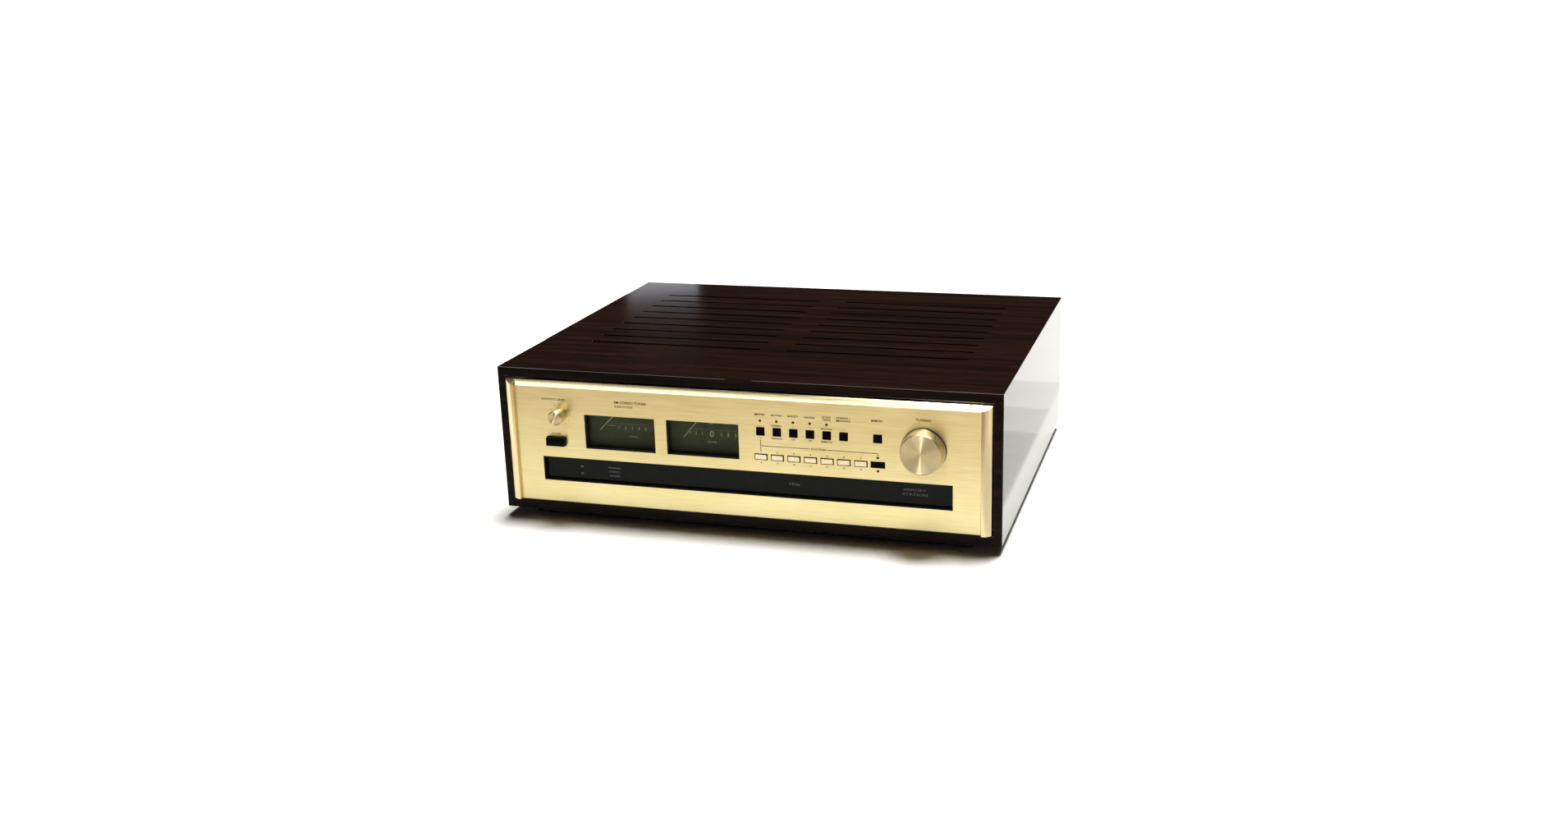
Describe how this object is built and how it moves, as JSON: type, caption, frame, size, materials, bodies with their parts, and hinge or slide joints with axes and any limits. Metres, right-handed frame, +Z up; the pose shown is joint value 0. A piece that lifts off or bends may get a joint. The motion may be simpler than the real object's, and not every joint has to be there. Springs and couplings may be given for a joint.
{
  "type": "stereo tuner",
  "caption": "FM stereo tuner: slotted wooden cabinet, brushed gold fascia with needle meters and a dial window, push keys, a tuning knob and a level knob.",
  "frame": {"origin": "on the table surface, below the middle of the whole object's outline", "axes": "+Z up, the fascia faces -Y, +X to the right as seen from the front"},
  "size_m": [0.466, 0.3896, 0.144],
  "materials": {
    "lacquered_wood": "clear gloss lacquer over dark rosewood-type veneer",
    "runner_wood": "satin black stain",
    "pad_rubber": "matte",
    "plated_steel": "zinc plated sheet",
    "bright_screws": "plated",
    "dark_steel": "fine textured dark paint",
    "gold_aluminium": "horizontally brushed, champagne gold anodised",
    "trim_aluminium": "satin champagne gold anodised",
    "dark_acrylic": "gloss",
    "smoked_glass": "polished, lightly smoked",
    "black_moulding": "matte",
    "scale_plate": "matte dark grey-green paint",
    "needle_paint": "matte white paint",
    "lamp_lens": "moulded lens",
    "circuit_board": "solder mask",
    "black_key": "fine satin",
    "gold_key": "satin champagne gold anodised",
    "display_glass": "polished",
    "turned_aluminium": "turned, champagne gold anodised",
    "bright_steel": "turned",
    "control_metal": "plated",
    "core_steel": "dark varnish",
    "sleeve_plastic": "shrink sleeve",
    "black_aluminium": "black anodised",
    "tinned_steel": "tinned sheet",
    "terminal_board": "phenolic board with nickel-plated terminals",
    "gilt_brass": "gold plated",
    "inlet_moulding": "moulded"
  },
  "bodies": {
    "root": {"cabinet_top": "lacquered_wood", "cabinet_side_left": "lacquered_wood", "cabinet_side_right": "lacquered_wood", "cabinet_base": "lacquered_wood", "runners": "runner_wood", "runner_pads": "pad_rubber", "chassis_tray": "plated_steel", "chassis_screws": "bright_screws", "front_subframe": "dark_steel", "rear_panel": "dark_steel", "fascia": "gold_aluminium", "fascia_screws": "bright_screws", "end_trim_left": "trim_aluminium", "end_trim_right": "trim_aluminium", "dial_window": "dark_acrylic", "meter_windows": "smoked_glass", "meter_case_left": "black_moulding", "meter_case_right": "black_moulding", "meter_scales": "scale_plate", "indicator_lamps": "lamp_lens", "key_board": "circuit_board", "key_switches": "black_moulding", "display_board": "circuit_board", "display_tube": "display_glass", "tuning_encoder": "control_metal", "level_potentiometer": "control_metal", "power_switch": "black_moulding", "main_board": "circuit_board", "power_transformer": "core_steel", "filter_capacitors": "sleeve_plastic", "heat_sink": "black_aluminium", "rf_shield_can": "tinned_steel", "synthesizer_board": "circuit_board", "antenna_terminals": "terminal_board", "output_plate": "black_moulding", "output_jacks": "gilt_brass", "ac_inlet": "inlet_moulding"},
    "tuning": {"tuning_knob": "turned_aluminium", "tuning_shaft": "bright_steel"},
    "level": {"level_knob": "turned_aluminium", "level_shaft": "bright_steel"},
    "power": {"power_button": "black_key"},
    "mode_1": {"mode_button_1": "black_key"},
    "mode_2": {"mode_button_2": "black_key"},
    "mode_3": {"mode_button_3": "black_key"},
    "mode_4": {"mode_button_4": "black_key"},
    "mode_5": {"mode_button_5": "black_key"},
    "mode_6": {"mode_button_6": "black_key"},
    "memory": {"memory_button": "black_key"},
    "preset_1": {"preset_button_1": "gold_key"},
    "preset_2": {"preset_button_2": "gold_key"},
    "preset_3": {"preset_button_3": "gold_key"},
    "preset_4": {"preset_button_4": "gold_key"},
    "preset_5": {"preset_button_5": "gold_key"},
    "preset_6": {"preset_button_6": "gold_key"},
    "preset_7": {"preset_button_7": "gold_key"},
    "bank": {"bank_button": "black_key"},
    "needle_left": {"meter_needle_left": "needle_paint"},
    "needle_right": {"meter_needle_right": "needle_paint"},
    "earth_nut": {"ground_nut": "gilt_brass"}
  },
  "joints": [
    {"name": "tuning_spin", "type": "hinge", "parent": "root", "child": "tuning", "pos_m": [0.1657, -0.1812, 0.0917], "axis": [0, 1, 0], "continuous": true},
    {"name": "level_turn", "type": "hinge", "parent": "root", "child": "level", "pos_m": [-0.1712, -0.1812, 0.1025], "axis": [0, 1, 0], "range_deg": [-150, 150]},
    {"name": "power_press", "type": "slide", "parent": "root", "child": "power", "axis": [0, 1, 0], "range_m": [0, 0.0035], "stiffness_N_per_m": 250},
    {"name": "mode_press_1", "type": "slide", "parent": "root", "child": "mode_1", "axis": [0, 1, 0], "range_m": [0, 0.001], "stiffness_N_per_m": 300},
    {"name": "mode_press_2", "type": "slide", "parent": "root", "child": "mode_2", "axis": [0, 1, 0], "range_m": [0, 0.001], "stiffness_N_per_m": 300},
    {"name": "mode_press_3", "type": "slide", "parent": "root", "child": "mode_3", "axis": [0, 1, 0], "range_m": [0, 0.001], "stiffness_N_per_m": 300},
    {"name": "mode_press_4", "type": "slide", "parent": "root", "child": "mode_4", "axis": [0, 1, 0], "range_m": [0, 0.001], "stiffness_N_per_m": 300},
    {"name": "mode_press_5", "type": "slide", "parent": "root", "child": "mode_5", "axis": [0, 1, 0], "range_m": [0, 0.001], "stiffness_N_per_m": 300},
    {"name": "mode_press_6", "type": "slide", "parent": "root", "child": "mode_6", "axis": [0, 1, 0], "range_m": [0, 0.001], "stiffness_N_per_m": 300},
    {"name": "memory_press", "type": "slide", "parent": "root", "child": "memory", "axis": [0, 1, 0], "range_m": [0, 0.001], "stiffness_N_per_m": 300},
    {"name": "preset_press_1", "type": "slide", "parent": "root", "child": "preset_1", "axis": [0, 1, 0], "range_m": [0, 0.001], "stiffness_N_per_m": 300},
    {"name": "preset_press_2", "type": "slide", "parent": "root", "child": "preset_2", "axis": [0, 1, 0], "range_m": [0, 0.001], "stiffness_N_per_m": 300},
    {"name": "preset_press_3", "type": "slide", "parent": "root", "child": "preset_3", "axis": [0, 1, 0], "range_m": [0, 0.001], "stiffness_N_per_m": 300},
    {"name": "preset_press_4", "type": "slide", "parent": "root", "child": "preset_4", "axis": [0, 1, 0], "range_m": [0, 0.001], "stiffness_N_per_m": 300},
    {"name": "preset_press_5", "type": "slide", "parent": "root", "child": "preset_5", "axis": [0, 1, 0], "range_m": [0, 0.001], "stiffness_N_per_m": 300},
    {"name": "preset_press_6", "type": "slide", "parent": "root", "child": "preset_6", "axis": [0, 1, 0], "range_m": [0, 0.001], "stiffness_N_per_m": 300},
    {"name": "preset_press_7", "type": "slide", "parent": "root", "child": "preset_7", "axis": [0, 1, 0], "range_m": [0, 0.001], "stiffness_N_per_m": 300},
    {"name": "bank_press", "type": "slide", "parent": "root", "child": "bank", "axis": [0, 1, 0], "range_m": [0, 0.001], "stiffness_N_per_m": 300},
    {"name": "needle_left_swing", "type": "hinge", "parent": "root", "child": "needle_left", "pos_m": [-0.1133, -0.1712, 0.111], "axis": [0, -1, 0], "range_deg": [0, 82], "stiffness_Nm_per_rad": 0.0005},
    {"name": "needle_right_swing", "type": "hinge", "parent": "root", "child": "needle_right", "pos_m": [-0.034, -0.1712, 0.111], "axis": [0, -1, 0], "range_deg": [0, 82], "stiffness_Nm_per_rad": 0.0005},
    {"name": "earth_nut_turn", "type": "hinge", "parent": "root", "child": "earth_nut", "pos_m": [0.196, 0.1858, 0.062], "axis": [0, 1, 0], "continuous": true}
  ]
}
